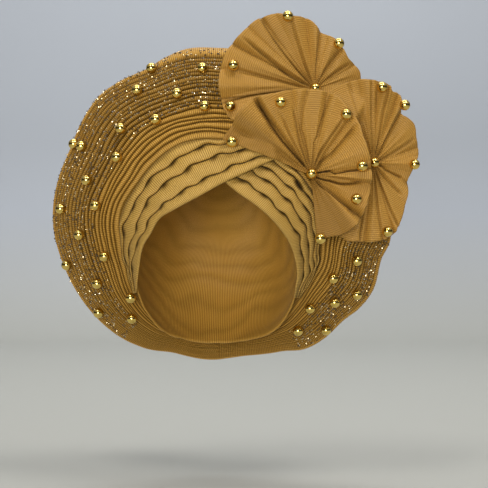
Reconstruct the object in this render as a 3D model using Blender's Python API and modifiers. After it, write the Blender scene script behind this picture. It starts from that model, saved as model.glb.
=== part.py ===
"""Tied gele head tie: a cap, a pleated fan, two crossed bands, three rosettes and their gold beads.

Metres, +Z up. The face looks along -Y, +X is the viewer's right, and the origin is where the crown
of the head meets the cap. Clock angles run anticlockwise from +X round the fan, seen from the front.
"""

import math
from collections import namedtuple

import bmesh
import bpy
from mathutils import Matrix, Vector
from mathutils.bvhtree import BVHTree

# The head that goes in, as an ellipsoid round the widest level
HEAD_HALF_WIDTH = 0.076
HEAD_HALF_DEPTH = 0.095
HEAD_HEIGHT = 0.100

# Walls of cloth, and the clearance between pieces that touch
CAP_WALL = 0.0015
FAN_WALL = 0.0012
BAND_WALL = 0.0013
ROSETTE_WALL = 0.0012
SEAT_GAP = 0.0004

# The fan: its axis lies FAN_DROP under the crown, and its throat stands off the cap. Its pleats
# reach their full height over the first PLEAT_FADE half pleats
FAN_DROP = 0.060
THROAT_RISE = 0.027
FAN_WIDTH = 0.0895
FAN_DEPTH = 0.048
PLEAT_COUNT = 19
PLEAT_HEIGHT = 0.0026
PLEAT_FADE = 3
HEM_HEIGHT = 0.0045
FAN_STATIONS = 30

# The crossed bands: how far they stand before the throat, the step and breadth of a fold, and the
# waves of its crease. Neighbouring creases are BAND_WAVE_SHIFT radians apart, and a band narrower
# than BAND_FULL_SHARE of the head's half width has lower folds
BAND_STAND = 0.003
BAND_FOLD = 0.0026
BAND_FOLD_WIDTH = 0.0016
BAND_FULL_SHARE = 0.4
BAND_WAVE = 0.0011
BAND_WAVE_LENGTH = 0.021
BAND_WAVE_SHIFT = 1.9
BAND_STATIONS = 18

# The rosettes: radius, how far the rim stands before the middle, the height of a fold at the rim and
# the power of the share by which it rises, and how far round a point the cloth below is felt
ROSETTE_RADIUS = 0.085
ROSETTE_DISH = 0.026
ROSETTE_FOLD = 0.0045
ROSETTE_FOLD_POWER = 1.5
ROSETTE_FEELER = 0.004
ROSETTE_RINGS = (0.10, 0.32, 0.66, 1.0)

# Gold beads
BEAD_DIAMETER = 0.0098
BEAD_SIDES = 10
BEAD_RINGS = 5
BEAD_STEPS = 200
BEAD_TOLERANCE = 0.00001

# The cap: its pole leans back, and the fan's inner edge is seated CAP_SEAT off it
CAP_TILT = math.radians(40)
CAP_SECTORS = 24
CAP_RINGS = 6
CAP_SEAT = 0.0015
HEAD_CENTRE = Vector((0, 0, -HEAD_HEIGHT))
FAN_CENTRE = Vector((0, 0, -FAN_DROP))
FORWARD = Vector((0, -1, 0))
# Farther out than any part of the head tie
FAR = 1.0

# Rim of the cap: degrees turned from the front, degrees down from the tilted pole
CapRim = namedtuple("CapRim", "turn down")
CAP_RIM = [
    CapRim(0, 82), CapRim(20, 91), CapRim(35, 95), CapRim(57, 102), CapRim(74, 106),
    CapRim(90, 109), CapRim(110, 111), CapRim(137, 111), CapRim(162, 103), CapRim(180, 95),
]

# The fan by clock angle: rise of the throat as a share of THROAT_RISE, width of the pleated field of
# FAN_WIDTH, how far forward the throat is of HEAD_HALF_DEPTH, how far back the rim lies from it of
# FAN_DEPTH, and the hem's share of the local width
FanRow = namedtuple("FanRow", "clock rise width forward back hem")
FAN_ROWS = [
    FanRow(-90, 0.26, 0.28, -0.75, 0.20, 0.10),
    FanRow(-78, 0.20, 0.25, -0.68, 0.22, 0.09),
    FanRow(-65, 0.14, 0.31, -0.50, 0.30, 0.08),
    FanRow(-57, 0.13, 0.42, -0.33, 0.42, 0.07),
    FanRow(-49, 0.15, 0.50, -0.17, 0.55, 0.06),
    FanRow(-40, 0.29, 0.55, -0.02, 0.67, 0.06),
    FanRow(-33, 0.46, 0.63, 0.06, 0.72, 0.06),
    FanRow(-25, 0.69, 0.67, 0.15, 0.79, 0.06),
    FanRow(-15, 0.81, 0.69, 0.24, 0.88, 0.06),
    FanRow(-8, 0.88, 0.77, 0.28, 0.93, 0.06),
    FanRow(5, 0.99, 0.80, 0.37, 0.98, 0.06),
    FanRow(20, 1.00, 0.86, 0.44, 0.99, 0.06),
    FanRow(35, 1.00, 0.91, 0.50, 0.99, 0.08),
    FanRow(50, 0.99, 0.96, 0.55, 1.00, 0.10),
    FanRow(65, 0.97, 0.98, 0.58, 0.99, 0.13),
    FanRow(80, 0.91, 0.98, 0.60, 0.98, 0.15),
    FanRow(90, 0.90, 0.98, 0.60, 0.98, 0.15),
    FanRow(100, 0.91, 1.00, 0.59, 0.99, 0.15),
    FanRow(109, 0.92, 0.96, 0.58, 1.00, 0.12),
    FanRow(116, 0.93, 0.91, 0.57, 1.00, 0.08),
    FanRow(125, 0.91, 0.93, 0.56, 1.00, 0.06),
    FanRow(134, 0.86, 0.95, 0.54, 1.00, 0.05),
    FanRow(144, 0.81, 0.91, 0.51, 1.00, 0.05),
    FanRow(155, 0.76, 0.85, 0.47, 1.00, 0.05),
    FanRow(165, 0.77, 0.82, 0.43, 1.00, 0.05),
    FanRow(174, 0.80, 0.78, 0.38, 0.99, 0.05),
    FanRow(184, 0.71, 0.75, 0.32, 0.96, 0.05),
    FanRow(195, 0.49, 0.71, 0.23, 0.88, 0.05),
    FanRow(207, 0.31, 0.64, 0.12, 0.77, 0.06),
    FanRow(218, 0.23, 0.54, 0.01, 0.69, 0.06),
    FanRow(229, 0.14, 0.44, -0.16, 0.56, 0.07),
    FanRow(240, 0.12, 0.33, -0.37, 0.38, 0.08),
    FanRow(252, 0.16, 0.25, -0.60, 0.26, 0.09),
]

# Profile of the rolled hem: share across it, and relief as a share of HEM_HEIGHT
HEM_PROFILE = ((0.30, 0.40), (0.70, 0.05), (1.0, -0.35))

# Cross-lines of the bands, from the first end. The inner edge is a share of the head's half width
# across and of its height above the widest level, and forward of its half depth. The outer edge is
# at a clock angle, and a share of the throat's radius there. Then shares across where creases run.
BandRow = namedtuple("BandRow", "across up forward clock reach creases")
BAND_LEFT = [
    BandRow(-0.96, -0.30, 0.25, 222.5, 1.00, (0.40, 0.60, 0.80)),
    BandRow(-0.915, -0.09, 0.39, 213.4, 0.99, (0.66, 0.80, 0.92)),
    BandRow(-0.855, 0.105, 0.53, 201.0, 1.01, (0.38, 0.68, 0.92)),
    BandRow(-0.755, 0.228, 0.61, 185.3, 1.00, (0.25, 0.49, 0.87)),
    BandRow(-0.643, 0.359, 0.70, 172.5, 0.98, (0.24, 0.54, 0.79)),
    BandRow(-0.465, 0.439, 0.79, 154.0, 0.99, (0.26, 0.59, 0.86)),
    BandRow(-0.177, 0.555, 0.83, 126.3, 1.00, (0.25, 0.55, 0.79)),
    BandRow(0.072, 0.661, 0.785, 99.1, 1.00, (0.26, 0.61, 0.88)),
    BandRow(0.335, 0.756, 0.715, 78.7, 1.00, (0.33, 0.68, 0.92)),
    BandRow(0.532, 0.830, 0.66, 62.5, 1.03, (0.35, 0.70, 0.92)),
    BandRow(0.695, 0.890, 0.61, 52.6, 1.07, (0.35, 0.70, 0.92)),
]
BAND_RIGHT = [
    BandRow(-0.057, 0.771, 0.67, 74.2, 0.92, (0.32, 0.63, 0.80, 0.93)),
    BandRow(0.107, 0.674, 0.757, 62.7, 0.90, (0.32, 0.65, 0.80, 0.93)),
    BandRow(0.267, 0.574, 0.795, 48.0, 0.87, (0.32, 0.66, 0.80, 0.93)),
    BandRow(0.430, 0.490, 0.78, 34.0, 0.89, (0.31, 0.63, 0.79, 0.93)),
    BandRow(0.587, 0.393, 0.737, 20.9, 0.93, (0.29, 0.60, 0.80, 0.94)),
    BandRow(0.722, 0.285, 0.663, 6.9, 0.93, (0.33, 0.62, 0.85, 0.95)),
    BandRow(0.840, 0.162, 0.568, -9.4, 0.94, (0.40, 0.68, 0.87, 0.95)),
    BandRow(0.911, 0.036, 0.453, -20.9, 0.98, (0.35, 0.61, 0.82, 0.93)),
    BandRow(0.950, -0.116, 0.347, -29.7, 1.00, (0.42, 0.70, 0.85, 0.93)),
    BandRow(0.936, -0.244, 0.284, -37.9, 1.00, (0.40, 0.65, 0.80, 0.92)),
    BandRow(0.923, -0.349, 0.21, -44.6, 1.00, (0.40, 0.60, 0.80, 0.92)),
]

# Fold lines of a rosette: angle, reach as a share of ROSETTE_RADIUS, how far the rim stands forward
# of ROSETTE_DISH, and relief of ROSETTE_FOLD, positive on a ridge and negative in a valley
Fold = namedtuple("Fold", "angle reach dish relief")
UPPER_FOLDS = [
    Fold(14, 0.52, -0.5, 0.0), Fold(22, 0.53, -0.5, 0.5), Fold(32, 0.51, -0.3, -0.5),
    Fold(43, 0.49, -0.2, 0.6), Fold(55, 0.53, 0.0, -0.5), Fold(66, 0.56, 0.1, 0.6),
    Fold(77, 0.58, 0.2, -0.4), Fold(84, 0.595, 0.2, -0.3), Fold(89, 0.65, 0.3, 0.8),
    Fold(98, 0.74, 0.4, -0.6), Fold(109, 0.79, 0.5, 0.7), Fold(119, 0.88, 0.6, -0.3),
    Fold(128, 0.92, 0.7, -1.0), Fold(132, 0.93, 0.7, 0.6), Fold(139, 0.945, 0.8, -0.3),
    Fold(146, 0.955, 0.8, 0.9), Fold(153, 0.98, 0.9, -1.0), Fold(161, 1.005, 0.9, 0.9),
    Fold(170, 1.01, 1.0, -0.3), Fold(180, 1.015, 1.0, 1.0), Fold(188, 1.00, 1.0, -1.1),
    Fold(195, 0.99, 1.0, 0.2), Fold(203, 0.94, 1.0, 0.0), Fold(218, 0.66, 1.0, -0.3),
    Fold(240, 0.54, 0.9, 0.3), Fold(268, 0.53, 0.7, -0.3), Fold(300, 0.53, 0.4, 0.3),
    Fold(335, 0.53, 0.0, -0.3),
]
RIGHT_FOLDS = [
    Fold(-152, 0.45, 0.9, 0.0), Fold(-128, 0.70, 0.6, 0.2), Fold(-112, 0.88, 0.4, 0.0),
    Fold(-103, 0.865, 0.35, 0.7), Fold(-97, 0.857, 0.3, -0.7), Fold(-91, 0.847, 0.25, 0.7),
    Fold(-82, 0.83, 0.2, 0.1), Fold(-74, 0.79, 0.15, -0.7), Fold(-69, 0.73, 0.1, 0.6),
    Fold(-62, 0.66, 0.0, 0.1), Fold(-52, 0.57, -0.2, -0.2), Fold(-40, 0.50, -0.3, 0.6),
    Fold(-27, 0.43, -0.4, -0.7), Fold(-12, 0.44, -0.5, 0.0), Fold(0, 0.47, -0.5, 0.6),
    Fold(10, 0.51, -0.5, 0.1), Fold(20, 0.53, -0.4, -0.6), Fold(31, 0.55, -0.3, 0.4),
    Fold(43, 0.61, -0.2, 0.5), Fold(53, 0.615, -0.1, 0.1), Fold(60.5, 0.615, 0.0, -0.4),
    Fold(64.5, 0.70, 0.1, 0.6), Fold(70, 0.785, 0.2, -0.7), Fold(75.5, 0.785, 0.3, 0.0),
    Fold(79, 0.835, 0.3, 0.7), Fold(87, 0.87, 0.35, -0.8), Fold(94, 0.88, 0.4, 0.7),
    Fold(102, 0.90, 0.4, -0.3), Fold(111, 0.90, 0.4, 0.2), Fold(122, 0.89, 0.5, 0.0),
    Fold(138, 0.66, 0.7, -0.2), Fold(160, 0.40, 1.0, 0.0), Fold(184, 0.34, 1.1, 0.0),
]
FRONT_FOLDS = [
    Fold(-86, 0.69, 0.5, -0.1), Fold(-75, 0.68, 0.5, 0.3), Fold(-63, 0.705, 0.5, 0.4),
    Fold(-48, 0.70, 0.5, 0.9), Fold(-43, 0.69, 0.4, -0.9), Fold(-25, 0.645, 0.4, -0.4),
    Fold(-10, 0.625, 0.4, -0.7), Fold(-6, 0.62, 0.5, 0.6), Fold(1, 0.615, 0.5, 0.6),
    Fold(4.5, 0.612, 0.5, -0.9), Fold(12, 0.615, 0.5, 0.2), Fold(24, 0.625, 0.5, 0.9),
    Fold(36, 0.65, 0.5, 0.5), Fold(47, 0.71, 0.5, 0.0), Fold(55, 0.75, 0.5, -0.7),
    Fold(62, 0.77, 0.6, 0.6), Fold(72, 0.835, 0.6, 0.1), Fold(79, 0.85, 0.6, -0.7),
    Fold(84, 0.855, 0.6, 0.5), Fold(96, 0.87, 0.6, 0.5), Fold(104, 0.885, 0.7, -0.7),
    Fold(114, 0.90, 0.8, 0.1), Fold(123.5, 0.94, 0.8, 0.8), Fold(128.5, 0.97, 0.9, -1.1),
    Fold(134, 0.977, 0.9, 0.4), Fold(141, 0.972, 1.0, 0.9), Fold(150, 0.952, 1.0, 0.0),
    Fold(160, 0.985, 1.0, 0.1),
]

# Middles of the rosettes: clock angle, and share across the fan's pleated field
Rosette = namedtuple("Rosette", "clock across folds closed")
ROSETTES = {
    "upper": Rosette(52.2, 0.812, UPPER_FOLDS, True),
    "right": Rosette(18.6, 0.845, RIGHT_FOLDS, True),
    "front": Rosette(23.2, 0.115, FRONT_FOLDS, False),
}

# Beads sewn on the pleated field: clock angle, and share across it
FAN_BEADS = [
    (95.5, 0.74), (122.5, 0.77), (108, 0.52), (96, 0.33), (122.5, 0.36), (138, 0.52), (153, 0.84),
    (150, 0.37), (165, 0.58), (177.5, 0.85), (175.5, 0.35), (188, 0.58), (200, 0.29), (198, 0.92),
    (209.5, 0.56), (223.5, 0.08), (219, 0.86), (230, 0.37), (-18, 0.57), (-28.5, 0.29),
    (-29.5, 0.77), (-36.5, 0.57), (-45, 0.28), (-55, 0.45), (-46.5, 0.85), (114, 0.94), (153.5, 0.95),
]
# Beads on the rosettes: angle, and share of ROSETTE_RADIUS from the middle
ROSETTE_BEADS = {
    "upper": [(166.5, 0.89), (194, 0.92), (112, 0.79), (62, 0.53)],
    "front": [(159.5, 0.88), (114.5, 0.79), (60, 0.69), (8, 0.52), (-30, 0.53), (-83, 0.68)],
    "right": [(84.5, 0.80), (62, 0.69), (-1.5, 0.45), (-79.5, 0.75)],
}

BAND_COLOUR = (0.58, 0.38, 0.12)
FAN_COLOUR = (0.40, 0.24, 0.07)
ROSETTE_COLOUR = (0.50, 0.30, 0.08)
BEAD_COLOUR = (0.83, 0.66, 0.26)


def clear_scene():
    for obj in list(bpy.data.objects):
        bpy.data.objects.remove(obj, do_unlink=True)


def material(name, colour, roughness, metallic=0.0):
    made = bpy.data.materials.new(name)
    made.use_nodes = True
    shader = made.node_tree.nodes["Principled BSDF"]
    shader.inputs["Base Color"].default_value = (*colour, 1)
    shader.inputs["Roughness"].default_value = roughness
    shader.inputs["Metallic"].default_value = metallic
    return made


def smooth_table(rows, key, period=None):
    """A function that reads the table's other columns at any key, along smooth curves through its rows."""
    keys = [row[key] for row in rows]
    values = [[value for column, value in enumerate(row) if column != key] for row in rows]
    if period:
        keys = [keys[-2] - period, keys[-1] - period, *keys, keys[0] + period, keys[1] + period]
        values = [values[-2], values[-1], *values, values[0], values[1]]
    last = len(keys) - 1

    def slope(i, column):
        low, high = max(i - 1, 0), min(i + 1, last)
        return (values[high][column] - values[low][column]) / (keys[high] - keys[low])

    def read(at):
        if period:
            at = (at - keys[2]) % period + keys[2]
        at = min(max(at, keys[0]), keys[last])
        i = max(j for j in range(last) if keys[j] <= at)
        step = keys[i + 1] - keys[i]
        t = (at - keys[i]) / step
        return [
            (1 + 2 * t) * (1 - t) ** 2 * a
            + t * t * (3 - 2 * t) * b
            + t * (1 - t) ** 2 * step * slope(i, column)
            - t * t * (1 - t) * step * slope(i + 1, column)
            for column, (a, b) in enumerate(zip(values[i], values[i + 1]))
        ]

    return read


def grid_mesh(name, rows, ring, centre=None):
    """An open sheet through rows of points, closed into a ring on request, with one point as its middle."""
    mesh = bmesh.new()
    grid = [[mesh.verts.new(point) for point in row] for row in rows]
    hub = mesh.verts.new(centre) if centre else None
    pairs = list(zip(grid, grid[1:])) + ([(grid[-1], grid[0])] if ring else [])
    for one, two in pairs:
        if hub:
            mesh.faces.new((hub, one[0], two[0]))
        for j in range(len(one) - 1):
            mesh.faces.new((one[j], one[j + 1], two[j + 1], two[j]))
    bmesh.ops.recalc_face_normals(mesh, faces=mesh.faces)
    data = bpy.data.meshes.new(name)
    mesh.to_mesh(data)
    mesh.free()
    return data


def add_object(name, data, finish, collection):
    obj = bpy.data.objects.new(name, data)
    collection.objects.link(obj)
    obj.data.materials.append(finish)
    data.shade_smooth()
    return obj


def face_towards(data, direction):
    """Turns an open sheet so that its normals look along a direction rather than against it."""
    if sum(face.normal.dot(direction) * face.area for face in data.polygons) < 0:
        data.flip_normals()


def thicken(obj, wall, offset):
    solid = obj.modifiers.new("Wall", "SOLIDIFY")
    solid.thickness = wall
    solid.offset = offset
    solid.use_rim = True


def world_mesh(obj):
    """Points and faces of an object after its modifiers, in world space."""
    bpy.context.view_layer.update()
    graph = bpy.context.evaluated_depsgraph_get()
    evaluated = obj.evaluated_get(graph)
    mesh = evaluated.to_mesh()
    points = [evaluated.matrix_world @ vertex.co for vertex in mesh.vertices]
    faces = [tuple(face.vertices) for face in mesh.polygons]
    evaluated.to_mesh_clear()
    return points, faces


def tree_of(objects):
    points, faces = [], []
    for obj in objects:
        own, own_faces = world_mesh(obj)
        faces += [tuple(index + len(points) for index in face) for face in own_faces]
        points += own
    return BVHTree.FromPolygons(points, faces)


def front_at(tree, x, z, reach=0.0):
    """How far forward the surfaces below come near (x, z), or None where nothing is hit."""
    steps = [(0, 0)] + ([(i, j) for i in (-1, 0, 1) for j in (-1, 0, 1) if i or j] if reach else [])
    hits = [tree.ray_cast(Vector((x + i * reach, -FAR, z + j * reach)), -FORWARD)[0] for i, j in steps]
    found = [hit.y for hit in hits if hit is not None]
    return min(found) if found else None


def drape(points, tree, wall, reach):
    """Brings each point of a sheet forward where it would come into what lies behind it."""
    room = SEAT_GAP + wall
    for point in points:
        front = front_at(tree, point.x, point.z, reach)
        if front is not None:
            point.y = min(point.y, front - room)


def samples(points, faces):
    """The points of a mesh, with the middles of its edges and faces."""
    found = list(points)
    for face in faces:
        corners = [points[index] for index in face]
        found.append(sum(corners, Vector()) / len(corners))
        found += [(one + two) / 2 for one, two in zip(corners, corners[1:] + corners[:1])]
    return found


def settle(obj, carriers):
    """Moves a piece straight back, or forward, until it just rests on what carries it."""
    points, faces = world_mesh(obj)
    own = BVHTree.FromPolygons(points, faces)
    below = tree_of(carriers)
    places = samples(points, faces)
    for carrier in carriers:
        places += samples(*world_mesh(carrier))
    room = []
    for place in places:
        front = below.ray_cast(Vector((place.x, -FAR, place.z)), -FORWARD)[0]
        back = own.ray_cast(Vector((place.x, FAR, place.z)), FORWARD)[0]
        if front is not None and back is not None:
            room.append(front.y - back.y)
    obj.data.transform(Matrix.Translation((0, min(room) - SEAT_GAP, 0)))
    # Edges may still cross between the sampled places, so it comes forward until none does
    while tree_of([obj]).overlap(below):
        obj.data.transform(Matrix.Translation(FORWARD * SEAT_GAP))


def head_direction(down, turn):
    """A direction from the head's centre, by degrees down from the tilted pole and round from the front."""
    down, turn = math.radians(down), math.radians(turn)
    pole = Vector((0, math.sin(CAP_TILT), math.cos(CAP_TILT)))
    front = Vector((0, -math.cos(CAP_TILT), math.sin(CAP_TILT)))
    side = Vector((1, 0, 0))
    return math.cos(down) * pole + math.sin(down) * (math.cos(turn) * front + math.sin(turn) * side)


def head_radius(direction, growth):
    """Distance from the head's centre to its surface, grown outwards, along a unit direction."""
    axes = (HEAD_HALF_WIDTH + growth, HEAD_HALF_DEPTH + growth, HEAD_HEIGHT + growth)
    return 1 / math.sqrt(sum((part / axis) ** 2 for part, axis in zip(direction, axes)))


def cap_radius_from_fan(clock, forward, growth):
    """Radius from the fan's axis to the grown head's surface, in the cross plane at a forward distance."""
    width, depth, height = (size + growth for size in (HEAD_HALF_WIDTH, HEAD_HALF_DEPTH, HEAD_HEIGHT))
    offset = HEAD_HEIGHT - FAN_DROP
    across, up = math.cos(clock), math.sin(clock)
    square = (across / width) ** 2 + (up / height) ** 2
    half = offset * up / height**2
    rest = (offset / height) ** 2 + (forward / depth) ** 2 - 1
    return (-half + math.sqrt(max(half * half - square * rest, 0))) / square


def build_cap(finish, collection):
    rim = smooth_table(CAP_RIM, 0)
    rows = []
    for sector in range(CAP_SECTORS):
        turn = 360 * sector / CAP_SECTORS
        down_to_rim = rim(min(turn, 360 - turn))[0]
        directions = [head_direction(down_to_rim * k / CAP_RINGS, turn) for k in range(1, CAP_RINGS + 1)]
        rows.append([HEAD_CENTRE + way * head_radius(way, 0) for way in directions])
    pole = head_direction(0, 0)
    data = grid_mesh("cap", rows, True, HEAD_CENTRE + pole * head_radius(pole, 0))
    face_towards(data, pole)
    cap = add_object("cap", data, finish, collection)
    thicken(cap, CAP_WALL, 1)
    return cap


fan_table = smooth_table(FAN_ROWS, 0, 360)


def throat_at(clock):
    """Radius of the fan's throat, its forward distance, and the table's row, at a clock angle in degrees."""
    rise, width, forward, back, hem = fan_table(clock)
    forward *= HEAD_HALF_DEPTH
    radius = cap_radius_from_fan(math.radians(clock), forward, CAP_WALL) + rise * THROAT_RISE
    return radius, forward, width, back, hem


def fan_point(clock, across, relief=0.0):
    """A point of the fan at a share across its field, raised square to the field by a relief."""
    radius, forward, width, back, _ = throat_at(clock)
    outward = Vector((math.cos(math.radians(clock)), 0, math.sin(math.radians(clock))))
    run, fall = width * FAN_WIDTH, back * FAN_DEPTH
    base = FAN_CENTRE + outward * (radius + run * across) + FORWARD * (forward - fall * across**2)
    slope = 2 * fall * across
    normal = (FORWARD * run + outward * slope).normalized()
    return base + normal * relief


def fan_profile(clock):
    """The fan's section at a clock angle: its seat on the cap, the pleats, and the rolled hem."""
    _, _, width, _, hem = throat_at(clock)
    throat = fan_point(clock, 0)
    way = (throat - HEAD_CENTRE).normalized()
    stand = CAP_SEAT + FAN_WALL * max(0, way.dot(FORWARD))
    seat = HEAD_CENTRE + way * (head_radius(way, CAP_WALL) + stand)
    points = [seat]
    steps = 2 * PLEAT_COUNT
    for k in range(steps + 1):
        side = 0.5 if k % 2 else -0.5
        fade = min(1.0, k / PLEAT_FADE) * width
        points.append(fan_point(clock, (1 - hem) * k / steps, side * PLEAT_HEIGHT * fade))
    for across, relief in HEM_PROFILE:
        points.append(fan_point(clock, 1 - hem + hem * across, relief * HEM_HEIGHT * width))
    return points


def build_fan(finish, collection):
    rows = [fan_profile(-90 + 360 * i / FAN_STATIONS) for i in range(FAN_STATIONS)]
    data = grid_mesh("fan", rows, True)
    face_towards(data, FORWARD)
    fan = add_object("fan", data, finish, collection)
    thicken(fan, FAN_WALL, -1)
    return fan


def band_section(row, phase):
    """One cross-line of a band, with a step forward at each crease where the next fold lies over it."""
    across, up, forward, clock, reach, *creases = row
    inner = Vector((
        across * HEAD_HALF_WIDTH, -forward * HEAD_HALF_DEPTH, (up - 1) * HEAD_HEIGHT,
    ))
    radius, throat_forward = throat_at(clock)[:2]
    outward = Vector((math.cos(math.radians(clock)), 0, math.sin(math.radians(clock))))
    outer = FAN_CENTRE + outward * radius * reach + FORWARD * (throat_forward + BAND_STAND)
    width = (outer - inner).length
    fade = min(1.0, width / (BAND_FULL_SHARE * HEAD_HALF_WIDTH))
    wave = fade * BAND_WAVE / width
    half_fold = 0.5 * BAND_FOLD_WIDTH / width
    places = [0.0]
    for k, crease in enumerate(creases):
        bend = crease + wave * math.sin(phase + BAND_WAVE_SHIFT * k)
        places += [max(bend - half_fold, places[-1] + half_fold), bend + half_fold]
    places.append(1.0)
    section = []
    for k, place in enumerate(places):
        lift = BAND_FOLD * fade if k % 2 == 0 else 0.0
        section.append(inner.lerp(outer, min(place, 1.0)) + FORWARD * lift)
    return section


def build_band(name, table, carriers, finish, collection):
    rows = [(i, *row[:5], *row.creases) for i, row in enumerate(table)]
    read = smooth_table(rows, 0)
    last = len(table) - 1
    sections = []
    run = 0.0
    for i in range(BAND_STATIONS):
        row = read(last * i / (BAND_STATIONS - 1))
        section = band_section(row, run)
        if sections:
            run += 2 * math.pi * (section[2] - sections[-1][2]).length / BAND_WAVE_LENGTH
            section = band_section(row, run)
        sections.append(section)
    tree = tree_of(carriers)
    for section in sections:
        drape(section, tree, BAND_WALL, BAND_STAND)
    data = grid_mesh(name, sections, False)
    face_towards(data, FORWARD)
    band = add_object(name, data, finish, collection)
    thicken(band, BAND_WALL, -1)
    settle(band, carriers)
    return band


def rosette_points(middle, folds, rings):
    """Rows of points out from a rosette's middle, one row along each fold line."""
    rows = []
    for fold in folds:
        angle = math.radians(fold.angle)
        out = Vector((math.cos(angle), 0, math.sin(angle))) * fold.reach * ROSETTE_RADIUS
        row = []
        for ring in rings:
            relief = fold.relief * ROSETTE_FOLD * ring**ROSETTE_FOLD_POWER
            row.append(middle + out * ring + FORWARD * (fold.dish * ROSETTE_DISH * ring + relief))
        rows.append(row)
    return rows


def build_rosette(name, rosette, carriers, finish, collection):
    tree = tree_of(carriers)
    middle = fan_point(rosette.clock, rosette.across, PLEAT_HEIGHT)
    drape([middle], tree, ROSETTE_WALL, ROSETTE_FEELER)
    rows = rosette_points(middle, rosette.folds, ROSETTE_RINGS)
    for row in rows:
        drape(row, tree, ROSETTE_WALL, ROSETTE_FEELER)
    data = grid_mesh(name, rows, rosette.closed, middle)
    face_towards(data, FORWARD)
    flower = add_object(name, data, finish, collection)
    thicken(flower, ROSETTE_WALL, -1)
    settle(flower, carriers)
    return flower, data.vertices[len(data.vertices) - 1].co.copy()


def bead_mesh(name, diameter):
    mesh = bmesh.new()
    bmesh.ops.create_uvsphere(mesh, u_segments=BEAD_SIDES, v_segments=BEAD_RINGS, radius=diameter / 2)
    data = bpy.data.meshes.new(name)
    mesh.to_mesh(data)
    mesh.free()
    return data


def seat_bead(name, data, point, tree, finish, collection):
    """Brings a bead straight back from the front until it is one clearance away from the cloth."""
    reach = BEAD_DIAMETER / 2 + SEAT_GAP
    place = Vector((point.x, -FAR, point.z))
    for _ in range(BEAD_STEPS):
        room = tree.find_nearest(place)[3] - reach
        if room < BEAD_TOLERANCE:
            break
        place -= FORWARD * room
    bead = add_object(name, data.copy(), finish, collection)
    bead.location = place


def build_beads(cloth, middles, finish, collection):
    places = {"fan": [fan_point(clock, across) for clock, across in FAN_BEADS]}
    for key, beads in ROSETTE_BEADS.items():
        places[key] = []
        for angle, reach in beads:
            turn = math.radians(angle)
            out = Vector((math.cos(turn), 0, math.sin(turn))) * reach * ROSETTE_RADIUS
            places[key].append(middles[key] + out)
        places[key].append(middles[key])
    tree = tree_of(cloth)
    data = bead_mesh("bead", BEAD_DIAMETER)
    for key, points in places.items():
        for number, point in enumerate(points, 1):
            seat_bead(f"{key}_bead_{number:02d}", data, point, tree, finish, collection)


def main():
    clear_scene()
    collection = bpy.data.collections.new("Gele head tie")
    bpy.context.scene.collection.children.link(collection)
    band_cloth = material("Band cloth", BAND_COLOUR, 0.75)
    fan_cloth = material("Fan cloth", FAN_COLOUR, 0.8)
    rosette_cloth = material("Rosette cloth", ROSETTE_COLOUR, 0.75)
    gold = material("Gold bead", BEAD_COLOUR, 0.18, 1.0)

    cap = build_cap(fan_cloth, collection)
    fan = build_fan(fan_cloth, collection)
    cloth = [cap, fan]
    for name, table in (("band_right", BAND_RIGHT), ("band_left", BAND_LEFT)):
        cloth.append(build_band(name, table, list(cloth), band_cloth, collection))
    middles = {}
    for key, rosette in ROSETTES.items():
        flower, middles[key] = build_rosette(
            f"rosette_{key}", rosette, list(cloth), rosette_cloth, collection
        )
        cloth.append(flower)
    build_beads(cloth, middles, gold, collection)


main()
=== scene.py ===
"""Looks of the tied gele head tie: ribbed gold cloth with fine pleats, small stones and gold beads.

Metres, +Z up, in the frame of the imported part. The face looks along -Y. Clock angles run
anticlockwise from +X round the fan, seen from the front.
"""

import random
from collections import namedtuple
from math import asin, cos, degrees, hypot, pi, radians, sin, sqrt

import bpy
import numpy as np
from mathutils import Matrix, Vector, noise
from mathutils.bvhtree import BVHTree


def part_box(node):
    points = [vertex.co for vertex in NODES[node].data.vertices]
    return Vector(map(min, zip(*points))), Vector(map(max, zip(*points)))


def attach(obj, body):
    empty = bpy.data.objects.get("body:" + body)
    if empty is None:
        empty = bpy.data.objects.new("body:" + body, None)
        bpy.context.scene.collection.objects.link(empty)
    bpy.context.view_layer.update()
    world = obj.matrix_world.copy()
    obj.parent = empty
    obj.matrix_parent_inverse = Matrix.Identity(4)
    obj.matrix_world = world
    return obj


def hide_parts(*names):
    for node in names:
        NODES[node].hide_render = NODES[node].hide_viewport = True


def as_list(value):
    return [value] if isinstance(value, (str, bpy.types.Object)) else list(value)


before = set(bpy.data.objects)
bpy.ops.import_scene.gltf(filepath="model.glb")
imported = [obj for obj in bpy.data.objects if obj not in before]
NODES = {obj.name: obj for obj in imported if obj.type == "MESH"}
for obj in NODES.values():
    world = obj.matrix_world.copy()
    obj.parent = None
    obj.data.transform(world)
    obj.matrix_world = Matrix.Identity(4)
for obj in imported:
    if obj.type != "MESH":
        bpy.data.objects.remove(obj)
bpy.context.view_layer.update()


def rows_of(kind, *rows):
    """A table's rows as named tuples of one kind."""
    return [kind(*row) for row in rows]


# The head that goes in and the cap, placed as in the part. Low folds sink CAP_FOLD into the cap every
# CAP_FOLD_STEP degrees, bent by waves of noise: share of a step, and scale
HEAD_HALF_WIDTH = 0.076
HEAD_HALF_DEPTH = 0.095
HEAD_HEIGHT = 0.1
CAP_WALL = 0.0015
CAP_TILT = radians(40)
CAP_SECTORS = 120
CAP_RINGS = 56
CAP_FOLD = 0.0009
CAP_FOLD_STEP = 12
CAP_BENDS = ((0.9, 2), (0.2, 6))

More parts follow.
